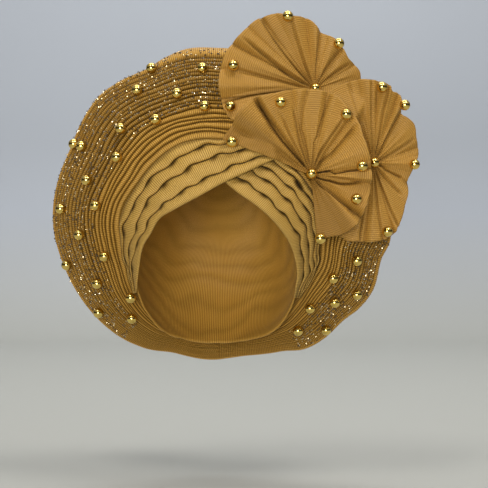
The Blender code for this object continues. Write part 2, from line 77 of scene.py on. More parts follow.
# The fan, placed as in the part. Its pleats are taller, reach their full height over PLEAT_FADE pleats
# and grow narrower outwards by PLEAT_SPREAD. Their creases wander by shares of a pleat. The outer pleats
# get painted shade, most at the top, and inner creases get lighter painted shade. The inner edge presses
# FAN_SEAT into the cap
FAN_DROP = 0.06
THROAT_RISE = 0.027
FAN_WIDTH = 0.0895
FAN_DEPTH = 0.048
PLEAT_COUNT = 19
PLEAT_HEIGHT = 0.0034
PLEAT_FADE = 1.5
PLEAT_SPREAD = 0.87
PLEAT_WANDER = 0.2
PLEAT_UNEVEN = 0.22
OUTER_SHADE = 0.34
TOP_SHADE = 0.3
INNER_CREASE = 0.6
FAN_SEAT = 0.0004
HEM_HEIGHT = 0.0045
FAN_STATIONS = 240

# The bands, placed as in the part: how far they stand before the throat, the step and breadth of a fold,
# and the waves of its crease. A fold is higher on a crest, and pockets of painted shadow come
# BAND_POCKET_SHIFT radians before one
BAND_STAND = 0.003
BAND_FOLD = 0.005
BAND_FOLD_WIDTH = 0.0018
BAND_FULL_SHARE = 0.4
BAND_WAVE = 0.0011
BAND_WAVE_LENGTH = 0.025
BAND_WAVE_SHIFT = 1.9
BAND_WAVE_LIFT = 0.1
BAND_POCKET_SHIFT = 1.2
BAND_STATIONS = 150
# A small hollow between the right band and the front rosette, also darkened with painted shade: its
# middle, lean, half sizes and depth
HOLLOW_X, HOLLOW_Z = 0.0732, -0.0340
HOLLOW_LEAN = radians(-52)
HOLLOW_LENGTH = 0.0085
HOLLOW_WIDTH = 0.0034
HOLLOW_DEPTH = 0.004

# The rosettes, placed as in the part: folds rise by a power of the way out and are rounder on a ridge
# than in a valley, FLAP_EDGE degrees soften the edge of a flap's painted shade, and low gathers
# ripple the cloth
ROSETTE_RADIUS = 0.085
ROSETTE_DISH = 0.026
ROSETTE_FOLD = 0.005
ROSETTE_FOLD_POWER = 0.8
ROSETTE_FEELER = 0.002
ROSETTE_WALL = 0.0012
ROSETTE_RINGS = 40
ROSETTE_STEPS = 13
VALLEY_POWER = 0.75
FLAP_EDGE = 8
GATHER_HEIGHT = 0.0009
GATHERS = 1

# Cloth: thickness of one layer, pitch of its ribs and how far they drift, as a share of the pitch and a
# scale, and height and size of its small wrinkles. Threads are scaled along and across the ribs
LAYER = 0.0006
RIB_PITCH = 0.0018
RIB_DRIFT = 0.6
RIB_DRIFT_SCALE = 30
THREAD_SCALES = (350, 2600)
PATCH_SCALE = 22
PATCH_RANGE = (0.35, 0.7)
BUMP_STRENGTH = 0.6
BUMP_DEPTH = 0.0004
WRINKLE = 0.00035
WRINKLE_SIZE = 0.011
# Colours of each cloth: on its lit ribs, painted shade between them, which also colours dark thread
# specks, in warmer patches, and painted shade in creases
BAND_CLOTH = (
    "Band cloth", (0.63, 0.41, 0.105), (0.26, 0.135, 0.02), (0.46, 0.27, 0.05), (0.04, 0.015, 0.002),
)
FAN_CLOTH = (
    "Fan cloth", (0.68, 0.40, 0.07), (0.24, 0.105, 0.011), (0.42, 0.21, 0.025), (0.018, 0.005, 0.0005),
)
ROSETTE_CLOTH = (
    "Rosette cloth", (0.48, 0.265, 0.05), (0.30, 0.15, 0.024), (0.42, 0.21, 0.03), (0.025, 0.008, 0.001),
)

# Draping: gap between cloths, how softly the push spreads, and a distance past everything
SEAT_GAP = 0.0004
DRAPE_SLOPE = 6
FAR = 1.0
SEED = 7
HEAD_CENTRE = Vector((0, 0, -HEAD_HEIGHT))
FAN_CENTRE = Vector((0, 0, -FAN_DROP))
FORWARD = Vector((0, -1, 0))

# Rim of the cap: degrees turned from the front, degrees down from the tilted pole
CAP_RIM = [
    (0, 82), (20, 91), (35, 95), (57, 102), (74, 106), (90, 109), (110, 112), (137, 114),
    (162, 108), (180, 105.5),
]

# The fan by clock angle: rise of the throat of THROAT_RISE, width of its field of FAN_WIDTH, how far
# forward the throat is of HEAD_HALF_DEPTH, how far back the rim is of FAN_DEPTH, and the hem's share
FAN_ROWS = [
    (-90, 0.26, 0.28, -0.75, 0.2, 0.1), (-78, 0.2, 0.25, -0.68, 0.22, 0.09),
    (-65, 0.14, 0.31, -0.5, 0.3, 0.08), (-57, 0.13, 0.42, -0.33, 0.42, 0.09),
    (-49, 0.15, 0.5, -0.17, 0.55, 0.09), (-40, 0.29, 0.55, -0.02, 0.67, 0.09),
    (-33, 0.46, 0.63, 0.06, 0.72, 0.09), (-25, 0.69, 0.67, 0.15, 0.79, 0.09),
    (-15, 0.81, 0.69, 0.24, 0.88, 0.09), (-8, 0.88, 0.77, 0.28, 0.93, 0.06),
    (5, 0.99, 0.8, 0.37, 0.98, 0.06), (20, 1.0, 0.86, 0.44, 0.99, 0.06),
    (35, 1.0, 0.91, 0.5, 0.99, 0.08), (50, 0.99, 0.96, 0.55, 1.0, 0.1),
    (65, 0.97, 0.98, 0.58, 0.99, 0.13), (80, 0.91, 1.0, 0.6, 0.98, 0.15),
    (90, 0.9, 1.0, 0.6, 0.98, 0.15), (100, 0.91, 1.01, 0.59, 0.99, 0.15),
    (109, 0.92, 0.96, 0.58, 1.0, 0.12), (116, 0.93, 0.91, 0.57, 1.0, 0.08),
    (125, 0.91, 0.93, 0.56, 1.0, 0.06), (134, 0.86, 0.95, 0.54, 1.0, 0.05),
    (144, 0.81, 0.91, 0.51, 1.0, 0.05), (155, 0.76, 0.85, 0.47, 1.0, 0.05),
    (165, 0.77, 0.82, 0.43, 1.0, 0.05), (174, 0.8, 0.78, 0.38, 0.99, 0.05),
    (184, 0.71, 0.75, 0.32, 0.96, 0.05), (195, 0.49, 0.71, 0.23, 0.88, 0.05),
    (207, 0.31, 0.64, 0.12, 0.77, 0.06), (218, 0.23, 0.54, 0.01, 0.69, 0.06),
    (229, 0.14, 0.44, -0.16, 0.56, 0.07), (240, 0.12, 0.33, -0.37, 0.38, 0.08),
    (252, 0.16, 0.25, -0.6, 0.26, 0.09),
]

# Section of one pleat of the fan: share across it, relief of PLEAT_HEIGHT, and how much painted crease
# shade it gets
Relief = namedtuple("Relief", "across relief crease")
PLEAT_PROFILE = rows_of(
    Relief,
    (0.0, -0.9, 1.0), (0.07, -0.45, 1.0), (0.17, 0.04, 0.7), (0.3, 0.38, 0.1), (0.5, 0.5, 0.0),
    (0.68, 0.38, 0.1), (0.84, 0.02, 0.65), (0.94, -0.48, 1.0),
)
# Section of the hem: share across it, relief of HEM_HEIGHT and painted crease shade, then round its
# edge to the back
HEM_PROFILE = rows_of(
    Relief,
    (0.0, -0.8, 1.0), (0.1, -0.4, 1.0), (0.2, 0.15, 0.3), (0.34, 0.42, 0.0), (0.55, 0.36, 0.0),
    (0.75, 0.16, 0.0), (0.9, -0.1, 0.0), (1.0, -0.38, 0.0), (1.02, -0.62, 0.0), (0.96, -0.8, 0.1),
    (0.8, -0.75, 0.3), (0.5, -0.62, 0.6),
)

# Cross-lines of the bands from the first end. The inner edge is a share of the head's half width across,
# of its height up from the widest level, and of its half depth forward. The outer edge is at a clock
# angle and a share of the throat's radius. Creases run at shares across
BAND_LEFT = [
    (-0.96, -0.3, 0.25, 222.5, 1.0, 0.4, 0.6, 0.8),
    (-0.915, -0.09, 0.39, 213.4, 0.99, 0.66, 0.8, 0.92),
    (-0.855, 0.105, 0.53, 201.0, 1.01, 0.38, 0.68, 0.92),
    (-0.755, 0.228, 0.61, 185.3, 1.0, 0.25, 0.49, 0.87),
    (-0.643, 0.359, 0.7, 172.5, 0.98, 0.24, 0.54, 0.79),
    (-0.465, 0.439, 0.79, 154.0, 0.99, 0.26, 0.59, 0.86),
    (-0.177, 0.555, 0.83, 126.3, 1.0, 0.25, 0.55, 0.79),
    (0.072, 0.661, 0.785, 99.1, 1.0, 0.26, 0.61, 0.88),
    (0.335, 0.756, 0.715, 78.7, 1.0, 0.33, 0.68, 0.92),
    (0.532, 0.83, 0.66, 62.5, 1.03, 0.35, 0.7, 0.92),
    (0.695, 0.89, 0.61, 52.6, 1.07, 0.35, 0.7, 0.92),
]
BAND_RIGHT = [
    (-0.057, 0.771, 0.67, 74.2, 1.0, 0.27, 0.5, 0.7, 0.88),
    (0.107, 0.674, 0.757, 62.7, 1.0, 0.27, 0.5, 0.7, 0.88),
    (0.267, 0.574, 0.795, 48.0, 1.0, 0.27, 0.51, 0.7, 0.88),
    (0.43, 0.49, 0.78, 34.0, 1.01, 0.27, 0.51, 0.7, 0.88),
    (0.587, 0.393, 0.737, 20.9, 1.02, 0.26, 0.51, 0.7, 0.88),
    (0.722, 0.285, 0.663, 6.9, 1.02, 0.29, 0.53, 0.74, 0.9),
    (0.84, 0.162, 0.568, -9.4, 1.0, 0.36, 0.61, 0.8, 0.92),
    (0.911, 0.036, 0.453, -20.9, 0.98, 0.35, 0.61, 0.82, 0.93),
    (0.95, -0.116, 0.347, -29.7, 1.0, 0.42, 0.7, 0.85, 0.93),
    (0.936, -0.244, 0.284, -37.9, 1.0, 0.4, 0.65, 0.8, 0.92),
    (0.923, -0.349, 0.21, -44.6, 1.0, 0.4, 0.6, 0.8, 0.92),
]
# Where one fold of a band lies over the next: how far out of BAND_FOLD_WIDTH, lift of BAND_FOLD, and
# painted crease shade
TUCK_PROFILE = rows_of(
    Relief,
    (-0.9, 0.06, 0.6), (-0.1, 0.0, 0.9), (0.8, 0.0, 1.0), (1.3, 0.2, 1.0), (0.9, 0.42, 1.0),
    (0.0, 0.5, 0.8), (-0.45, 0.66, 0.35), (-0.25, 0.88, 0.0), (0.4, 1.02, 0.0),
)
# The open stretch of a fold: share across it, lift of BAND_FOLD, and painted crease shade
FOLD_PROFILE = rows_of(
    Relief,
    (0.22, 1.12, 0.0), (0.36, 1.1, 0.0), (0.5, 1.02, 0.0), (0.62, 0.88, 0.1), (0.72, 0.69, 0.5),
    (0.82, 0.46, 0.95), (0.91, 0.2, 1.0),
)

# Fold lines of a rosette, as in the part: clock angle, reach of ROSETTE_RADIUS, how far forward of
# ROSETTE_DISH, and relief of ROSETTE_FOLD
Fold = namedtuple("Fold", "angle reach dish relief")
UPPER_FOLDS = rows_of(
    Fold,
    (14, 0.52, -0.5, 0.0), (22, 0.53, -0.5, 0.5), (32, 0.51, -0.3, -0.5), (43, 0.49, -0.2, 0.6),
    (55, 0.53, 0.0, -0.5), (66, 0.56, 0.1, 0.6), (77, 0.58, 0.2, -0.4), (84, 0.595, 0.2, -0.3),
    (89, 0.65, 0.3, 0.8), (98, 0.74, 0.4, -0.6), (109, 0.79, 0.5, 0.7), (119, 0.88, 0.6, -0.3),
    (128, 0.92, 0.7, -1.0), (132, 0.93, 0.7, 0.6), (139, 0.945, 0.8, -0.3), (146, 0.955, 0.8, 0.9),
    (153, 0.98, 0.9, -1.0), (161, 1.005, 0.9, 0.9), (170, 1.01, 1.0, -0.3), (180, 1.015, 1.0, 1.0),
    (188, 1.0, 1.0, -1.1), (195, 0.99, 1.0, 0.2), (203, 0.94, 1.0, 0.0), (218, 0.66, 1.0, -0.3),
    (240, 0.54, 0.9, 0.3), (268, 0.53, 0.7, -0.3), (300, 0.53, 0.4, 0.3), (335, 0.53, 0.0, -0.3),
)
RIGHT_FOLDS = rows_of(
    Fold,
    (-152, 0.45, 0.9, 0.0), (-128, 0.7, 0.6, 0.2), (-112, 0.88, 0.4, 0.0),
    (-103, 0.865, 0.35, 0.7), (-97, 0.857, 0.3, -0.7), (-91, 0.847, 0.25, 0.7),
    (-82, 0.83, 0.2, 0.1), (-74, 0.79, 0.15, -0.7), (-69, 0.73, 0.1, 0.6), (-62, 0.66, 0.0, 0.1),
    (-52, 0.57, -0.2, -0.2), (-40, 0.5, -0.3, 0.6), (-27, 0.43, -0.4, -0.7),
    (-12, 0.44, -0.5, 0.0), (0, 0.47, -0.5, 0.6), (10, 0.51, -0.5, 0.1), (20, 0.53, -0.4, -0.6),
    (31, 0.55, -0.3, 0.4), (43, 0.61, -0.2, 0.5), (53, 0.615, -0.1, 0.1), (60.5, 0.615, 0.0, -0.4),
    (64.5, 0.7, 0.1, 0.6), (70, 0.785, 0.2, -0.7), (75.5, 0.785, 0.3, 0.0), (79, 0.835, 0.3, 0.7),
    (87, 0.87, 0.35, -0.8), (94, 0.88, 0.4, 0.7), (102, 0.9, 0.4, -0.3), (111, 0.9, 0.4, 0.2),
    (122, 0.89, 0.5, 0.0), (138, 0.66, 0.7, -0.2), (160, 0.4, 1.0, 0.0), (184, 0.34, 1.1, 0.0),
)
FRONT_FOLDS = rows_of(
    Fold,
    (-86, 0.69, 0.5, -0.1), (-75, 0.68, 0.5, 0.3), (-63, 0.705, 0.5, 0.4), (-48, 0.7, 0.5, 0.9),
    (-43, 0.69, 0.4, -0.9), (-25, 0.645, 0.4, -0.4), (-10, 0.625, 0.4, -0.7), (-6, 0.62, 0.5, 0.6),
    (1, 0.615, 0.5, 0.6), (4.5, 0.612, 0.5, -0.9), (12, 0.615, 0.5, 0.2), (24, 0.625, 0.5, 0.9),
    (36, 0.65, 0.5, 0.5), (47, 0.71, 0.5, 0.0), (55, 0.75, 0.5, -0.7), (62, 0.77, 0.6, 0.6),
    (72, 0.835, 0.6, 0.1), (79, 0.85, 0.6, -0.7), (84, 0.855, 0.6, 0.5), (96, 0.87, 0.6, 0.5),
    (104, 0.885, 0.7, -0.7), (114, 0.9, 0.8, 0.1), (123.5, 0.94, 0.8, 0.8),
    (128.5, 0.97, 0.9, -1.1), (134, 0.977, 0.9, 0.4), (141, 0.972, 1.0, 0.9),
    (150, 0.952, 1.0, 0.0), (160, 0.985, 1.0, 0.1),
)
# Sharp creases of a rosette: depth, width on the side of larger and of smaller angles, all in metres,
# then the line that it follows: shares of the way from the middle to the rim, each before its angle
UPPER_CREASES = [
    (0.003, 0.003, 0.0015, 0.08, 172, 0.4, 169, 0.8, 168),
    (0.0038, 0.002, 0.003, 0.08, 158, 0.3, 155, 0.6, 149, 0.9, 147),
    (0.004, 0.002, 0.004, 0.08, 136, 0.5, 133, 1.0, 129),
    (0.0028, 0.002, 0.003, 0.08, 116, 0.5, 112, 1.0, 110),
    (0.0026, 0.002, 0.002, 0.08, 90, 0.5, 86, 1.0, 85),
    (0.0028, 0.003, 0.002, 0.08, 64, 0.5, 59, 0.9, 56),
    (0.0026, 0.003, 0.002, 0.08, 42, 0.5, 38, 0.9, 36),
    (0.005, 0.003, 0.006, 0.2, 186, 0.6, 188, 1.0, 191),
]
RIGHT_CREASES = [
    (0.0026, 0.002, 0.003, 0.08, 112, 0.5, 110, 1.0, 108),
    (0.003, 0.002, 0.003, 0.08, 95, 0.5, 93.5, 1.0, 92),
    (0.0034, 0.003, 0.002, 0.08, 77, 0.6, 80, 1.0, 79),
    (0.0034, 0.003, 0.002, 0.08, 60, 0.5, 62, 1.0, 61.5),
    (0.0024, 0.003, 0.003, 0.1, 25, 0.5, 28, 0.9, 30),
    (0.0034, 0.002, 0.002, 0.08, -8, 0.35, -28, 0.8, -26),
    (0.0026, 0.002, 0.002, 0.08, -55, 0.5, -50, 0.8, -48),
    (0.0032, 0.002, 0.003, 0.08, -72, 0.6, -71, 1.0, -69),
    (0.003, 0.002, 0.002, 0.08, -86, 0.6, -85, 1.0, -83),
    (0.004, 0.003, 0.002, 0.08, -104, 0.9, -101, 1.0, -100),
]
FRONT_CREASES = [
    (0.005, 0.003, 0.004, 0.08, 131, 0.45, 132, 1.0, 127),
    (0.0022, 0.004, 0.005, 0.1, 148, 0.5, 149, 0.9, 151),
    (0.0024, 0.0015, 0.0015, 0.08, 122, 0.35, 121, 0.7, 118),
    (0.0034, 0.002, 0.002, 0.08, 112, 0.35, 111, 0.5, 108, 0.75, 106),
    (0.003, 0.006, 0.0008, 0.1, 100, 0.45, 101.5, 0.54, 103, 0.75, 98, 1.0, 92),
    (0.0028, 0.0008, 0.003, 0.08, 85, 0.38, 86, 0.46, 81.4, 1.0, 77),
    (0.0034, 0.002, 0.002, 0.08, 70, 0.28, 68, 0.43, 63.7, 0.8, 60),
    (0.0036, 0.002, 0.004, 0.08, 40, 0.22, 53, 0.42, 45, 0.9, 48),
    (0.0055, 0.0013, 0.0013, 0.08, 8, 0.32, 9.6, 0.38, 0, 0.62, 3.5, 0.8, 4),
    (0.0055, 0.0012, 0.0018, 0.08, -30, 0.32, -20, 0.5, -18.5, 0.8, -10),
    (0.0045, 0.007, 0.0006, 0.1, -60, 0.38, -47.7, 0.8, -43, 1.0, -42),
]
# Flaps of a rosette that lean out of the light: first and last angle, and how much painted shade they get
Flap = namedtuple("Flap", "first last shade")
FRONT_FLAPS = [Flap(134, 180, 0.32), Flap(-100, -46, 0.48)]
# Rosettes from the bottom one up, whether they go all the way round, and what lies below them
Rosette = namedtuple("Rosette", "folds creases flaps closed below")
UNDER = ["fan", "cap", "band_left", "band_right"]
ROSETTES = {
    "upper": Rosette(UPPER_FOLDS, UPPER_CREASES, [], True, UNDER),
    "right": Rosette(RIGHT_FOLDS, RIGHT_CREASES, [], True, [*UNDER, "rosette_upper"]),
    "front": Rosette(
        FRONT_FOLDS, FRONT_CREASES, FRONT_FLAPS, False, [*UNDER, "rosette_upper", "rosette_right"],
    ),
}

# Small stones: size, spacing along a pleat, clear room round a bead, lean off the cloth, and how high
# they sit, of PLEAT_HEIGHT or HEM_HEIGHT. Clocks are the first and last, and the most frequent on the hem
STONE_DIAMETER = 0.0017
STONE_HEIGHT = 0.0007
STONE_SPACING = 0.0019
STONE_CLEAR = 0.0058
STONE_SIDES = 8
STONE_SIZES = (0.75, 1.15)
STONE_LEAN = 0.22
STONE_LIFT = 0.46
STONE_FIRST_PLEAT = 6
STONE_CLOCKS = (-70.0, 250.0)
STONE_LEAST_WIDTH = 0.4
CLEAR_SHARE = 0.45
HEM_STONES = 260
HEM_STONE_CLOCKS = (-60, 235, 105)
HEM_STONE_SHARES = (0.15, 0.7)
HEM_STONE_LIFT = 0.36

# Gold beads, drilled for their thread
BEAD_DIAMETER = 0.0098
BEAD_HOLE = 0.0011
BEAD_SIDES = 28
BEAD_RINGS = 18

# Area lights: name, place, size, power, colour and aim. The room that the beads mirror: pairs of a share
# of the way up and how bright it is there
HEAD_TIE = (0, 0, -0.08)
LIGHTS = [
    ("key", (-0.45, -1.0, 1.5), 0.5, 9, (1.0, 0.98, 0.95), HEAD_TIE),
    ("second", (0.7, -0.7, 1.5), 0.5, 12, (1.0, 0.98, 0.95), HEAD_TIE),
    ("fill", (-0.3, -2.4, -0.1), 1.0, 53, (1.0, 0.98, 0.95), HEAD_TIE),
    ("wall", (0.0, 0.9, 1.9), 1.6, 30, (0.96, 0.98, 1.0), (0, 2.2, 0.3)),
]
ROOM_LEVELS = ((0.0, 0.55), (0.44, 0.55), (0.50, 0.06), (0.66, 0.10), (0.80, 0.75), (1.0, 0.9))
ROOM_STRENGTH = 0.5

# Camera at the photo's angle, and the floor with its sweep up to a wall
CAMERA_PLACE = (0.0246, -1.185, -0.086)
CAMERA_LENS = 94.35
SENSOR = 36
FLOOR_DROP = 0.31
FLOOR_REACH = 3.0
WALL_REACH = 2.2
SWEEP_RADIUS = 0.5
SWEEP_STEPS = 16
FLOOR_COLOUR = (0.45, 0.45, 0.41)
WALL_COLOURS = (0.43, 0.455, 0.50), (0.47, 0.50, 0.545)


def smooth_table(rows, key, period=None):
    """A function that reads a table's other columns at any key, on smooth curves through its rows."""
    keys = [row[key] for row in rows]
    values = [[value for column, value in enumerate(row) if column != key] for row in rows]
    if period:
        keys = [keys[-2] - period, keys[-1] - period, *keys, keys[0] + period, keys[1] + period]
        values = [values[-2], values[-1], *values, values[0], values[1]]
    last = len(keys) - 1

    def slope(i, column):
        low, high = max(i - 1, 0), min(i + 1, last)
        return (values[high][column] - values[low][column]) / (keys[high] - keys[low])

    def read(at):
        if period:
            at = (at - keys[2]) % period + keys[2]
        at = min(max(at, keys[0]), keys[last])
        i = max(j for j in range(last) if keys[j] <= at)
        step = keys[i + 1] - keys[i]
        t = (at - keys[i]) / step
        return [
            (1 + 2 * t) * (1 - t) ** 2 * a
            + t * t * (3 - 2 * t) * b
            + t * (1 - t) ** 2 * step * slope(i, column)
            - t * t * (1 - t) * step * slope(i + 1, column)
            for column, (a, b) in enumerate(zip(values[i], values[i + 1]))
        ]

    return read


def clock_way(clock):
    """The direction of a clock angle in degrees, seen from the front."""
    return Vector((cos(radians(clock)), 0, sin(radians(clock))))


def wrinkled(point, size=WRINKLE_SIZE, height=WRINKLE):
    """How far small wrinkles raise the cloth at a point."""
    return height * noise.noise(point / size)


def new_object(name, data):
    """An object of some data, linked into the scene."""
    made = bpy.data.objects.new(name, data)
    bpy.context.scene.collection.objects.link(made)
    return made


def sheet_object(name, rows, ring, u, v, crease, facing, wall=LAYER, turned=False):
    """A cloth object through rows of points.

    u[j][i] is the length along row strip j at row i, and v[i][j] the length across at point j of row
    i, both in metres; a ring has one more row of them. The ribs cross the first length, and the
    second one if turned. crease[i][j] is how much painted crease shade a point gets, from 0 to 1.
    """
    count, width = len(rows), len(rows[0])
    points = [point for row in rows for point in row]
    faces, corners = [], []
    for i in range(count if ring else count - 1):
        below, above = i * width, (i + 1) % count * width
        for j in range(width - 1):
            faces.append((below + j, below + j + 1, above + j + 1, above + j))
            corners += [
                (u[j][i], v[i][j]), (u[j][i], v[i][j + 1]),
                (u[j][i + 1], v[i + 1][j + 1]), (u[j][i + 1], v[i + 1][j]),
            ]
    if turned:
        corners = [(across, along) for along, across in corners]
    mesh = bpy.data.meshes.new(name)
    mesh.from_pydata(points, [], faces)
    layer = mesh.uv_layers.new(name="Cloth")
    layer.data.foreach_set("uv", np.array(corners, np.float32).ravel())
    # The crease attribute carries painted shade for the cloth's material
    shade = mesh.attributes.new("crease", "FLOAT", "POINT")
    shade.data.foreach_set("value", np.array(crease, np.float32).ravel())
    mesh.update()
    if sum(face.normal.dot(facing) * face.area for face in mesh.polygons) < 0:
        mesh.flip_normals()
    mesh.shade_smooth()
    piece = new_object(name, mesh)
    solid = piece.modifiers.new("Layer", "SOLIDIFY")
    solid.thickness = wall
    solid.offset = -1
    return piece


def running_lengths(line):
    """The length from a line's first point to each of its points."""
    run = [0.0]
    for one, two in zip(line, line[1:]):
        run.append(run[-1] + (two - one).length)
    return run


def lengths_along(rows, columns, ring):
    """The running length along the rows at each of the given columns."""
    closing = rows[:1] if ring else []
    return [running_lengths([row[column] for row in rows + closing]) for column in columns]


def lengths_across(rows, ring):
    """The running length across each row at each of its points."""
    found = [running_lengths(row) for row in rows]
    return found + found[:1] if ring else found


def tree_of(pieces):
    """A search tree of built pieces."""
    points, faces = [], []
    for piece in pieces:
        faces += [tuple(index + len(points) for index in face.vertices) for face in piece.data.polygons]
        points += [vertex.co.copy() for vertex in piece.data.vertices]
    return BVHTree.FromPolygons(points, faces)


def front_at(tree, x, z, feeler):
    """How far forward the surfaces below come near (x, z), or None where nothing is there."""
    found = []
    for i in (-1, 0, 1):
        for j in (-1, 0, 1):
            hit = tree.ray_cast(Vector((x + i * feeler, -FAR, z + j * feeler)), -FORWARD)[0]
            if hit is not None:
                found.append(hit.y)
    return min(found) if found else None


def blurred(grid, passes, ring):
    """A grid of values evened out; the rows of a ring go round."""
    high, wide = grid.shape
    for _ in range(passes):
        padded = np.pad(grid, ((1, 1), (0, 0)), mode="wrap" if ring else "edge")
        padded = np.pad(padded, ((0, 0), (1, 1)), mode="edge")
        grid = sum(padded[i:i + high, j:j + wide] for i in range(3) for j in range(3)) / 9
    return grid


def drape(rows, below, feeler, ring):
    """Brings rows of points forward of the cloth behind them, with soft slopes round each place."""
    tree = tree_of(below)
    push = np.zeros((len(rows), len(rows[0])))
    for i, row in enumerate(rows):
        for j, point in enumerate(row):
            front = front_at(tree, point.x, point.z, feeler)
            if front is not None:
                push[i, j] = max(0, point.y - front + SEAT_GAP + LAYER)
    push = blurred(np.maximum(push, blurred(push, DRAPE_SLOPE, ring)), 1, ring)
    for row, values in zip(rows, push):
        for point, step in zip(row, values):
            point.y -= step


def smooth_depth(rows, passes):
    """Evens out how far forward neighbouring points of a grid are."""
    depth = blurred(np.array([[point.y for point in row] for row in rows]), passes, False)
    for row, values in zip(rows, depth):
        for point, y in zip(row, values):
            point.y = y


def bring_to(node, rows):
    """Moves rows of points straight forward or back, so that they reach as far forward as a CAD node."""
    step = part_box(node)[0].y - min(point.y for row in rows for point in row)
    for row in rows:
        for point in row:
            point.y += step


def head_direction(down, turn):
    """A direction from the head's centre: degrees down from the tilted pole, and round from the front."""
    down, turn = radians(down), radians(turn)
    pole = Vector((0, sin(CAP_TILT), cos(CAP_TILT)))
    front = Vector((0, -cos(CAP_TILT), sin(CAP_TILT)))
    side = Vector((1, 0, 0))
    return cos(down) * pole + sin(down) * (cos(turn) * front + sin(turn) * side)


def head_radius(direction, growth):
    """Distance from the head's centre to its surface, grown outwards, along a unit direction."""
    axes = (HEAD_HALF_WIDTH + growth, HEAD_HALF_DEPTH + growth, HEAD_HEIGHT + growth)
    return 1 / sqrt(sum((part / axis) ** 2 for part, axis in zip(direction, axes)))


def cap_radius_from_fan(clock, forward, growth):
    """Radius from the fan's axis to the grown head's surface, in the cross plane so far forward."""
    width, depth, height = (size + growth for size in (HEAD_HALF_WIDTH, HEAD_HALF_DEPTH, HEAD_HEIGHT))
    offset = HEAD_HEIGHT - FAN_DROP
    across, up = cos(clock), sin(clock)
    square = (across / width) ** 2 + (up / height) ** 2
    half = offset * up / height**2
    rest = (offset / height) ** 2 + (forward / depth) ** 2 - 1
    return (-half + sqrt(max(half * half - square * rest, 0))) / square


def build_cap():
    rim = smooth_table(CAP_RIM, 0)
    rows, creases = [], []
    for sector in range(CAP_SECTORS):
        turn = 360 * sector / CAP_SECTORS
        down_to_rim = rim(min(turn, 360 - turn))[0]
        row, crease = [], []
        for k in range(CAP_RINGS + 1):
            down = down_to_rim * max(k, 0.2) / CAP_RINGS
            way = head_direction(down, turn)
            bend = sum(share * noise.noise(way * scale) for share, scale in CAP_BENDS)
            wave = 0.5 + 0.5 * sin(2 * pi * (down / CAP_FOLD_STEP + bend))
            depth = CAP_FOLD * (1 - wave**0.6) * min(1, k / 6)
            row.append(HEAD_CENTRE + way * (head_radius(way, CAP_WALL) - depth))
            # Painted shade: the valleys of the cap's folds are darkened
            crease.append(0.2 * (1 - wave) ** 3)
        rows.append(row)
        creases.append(crease)
    u = lengths_along(rows, [CAP_RINGS * 3 // 4] * CAP_RINGS, True)
    v = lengths_across(rows, True)
    return sheet_object("cap_cloth", rows, True, u, v, creases, head_direction(0, 0), CAP_WALL)


FAN_TABLE = smooth_table(FAN_ROWS, 0, 360)
FanStation = namedtuple("FanStation", "clock radius forward width back hem")


def fan_station(clock):
    """The fan at a clock angle: radius and forward distance of its throat, and the table's shares."""
    rise, width, forward, back, hem = FAN_TABLE(clock)
    forward *= HEAD_HALF_DEPTH
    radius = cap_radius_from_fan(radians(clock), forward, CAP_WALL) + rise * THROAT_RISE
    return FanStation(clock, radius, forward, width, back, hem)


def fan_point(at, across, relief=0.0):
    """A point of the fan at a share across its field, raised square to the field by a relief."""
    outward = clock_way(at.clock)
    run, fall = at.width * FAN_WIDTH, at.back * FAN_DEPTH
    base = FAN_CENTRE + outward * (at.radius + run * across)
    base += FORWARD * (at.forward - fall * across * across)
    normal = (FORWARD * run + outward * 2 * fall * across).normalized()
    return base + normal * relief


def wander_waves():
    """For each crease between pleats, the waves by which it wanders: turns, height and phase."""
    chance = random.Random(SEED)
    waves = [[]]
    for _ in range(PLEAT_COUNT - 1):
        turns = [chance.randint(2, 5), chance.randint(6, 11), chance.randint(13, 22)]
        heights = [PLEAT_WANDER, PLEAT_WANDER * 0.8, PLEAT_WANDER * 0.45]
        wave = [
            (turn, height * chance.uniform(0.5, 1), chance.uniform(0, 2 * pi))
            for turn, height in zip(turns, heights)
        ]
        waves.append([(0, PLEAT_UNEVEN, chance.uniform(0, 2 * pi)), *wave])
    waves.append([])
    return waves


WANDER = wander_waves()


def crease_place(k, clock):
    """Where crease k of the fan lies at a clock angle, as a share of the pleated field."""
    turn = radians(clock)
    shift = sum(height * sin(turns * turn + phase) for turns, height, phase in WANDER[k])
    return ((k + shift) / PLEAT_COUNT) ** PLEAT_SPREAD


def fan_section(clock):
    """Points of the fan's section at a clock angle, with how much painted shade each gets."""
    at = fan_station(clock)
    throat = fan_point(at, 0)
    way = (throat - HEAD_CENTRE).normalized()
    seat = HEAD_CENTRE + way * (head_radius(way, CAP_WALL) - FAN_SEAT)
    # Painted shade on the strip from the cap to the throat, darkest at the cap
    found = [(seat.lerp(throat, t), 0.8 - 0.4 * t) for t in (0.0, 0.3, 0.6, 0.85)]
    # Painted shade on the outer pleats, more towards the top
    shade = OUTER_SHADE * (1 + TOP_SHADE * sin(radians(clock)))
    for k in range(PLEAT_COUNT):
        low, high = crease_place(k, clock), crease_place(k + 1, clock)
        fade = min(1.0, (k + 0.3) / PLEAT_FADE) * at.width**0.7
        swell = 1 + 0.25 * noise.noise(Vector((k * 3.1, radians(clock) * 4, 0)))
        for place in PLEAT_PROFILE:
            across = (1 - at.hem) * (low + (high - low) * place.across)
            point = fan_point(at, across, place.relief * PLEAT_HEIGHT * fade * swell)
            outer = min(1.0, max(0.0, k - 4) / 4)
            crease = place.crease * (INNER_CREASE + (1 - INNER_CREASE) * outer)
            found.append((point, max(crease, shade * outer)))
    for place in HEM_PROFILE:
        across = 1 - at.hem + at.hem * place.across
        found.append((fan_point(at, across, place.relief * HEM_HEIGHT * at.width), place.crease))
    return [(point + FORWARD * wrinkled(point), crease) for point, crease in found]


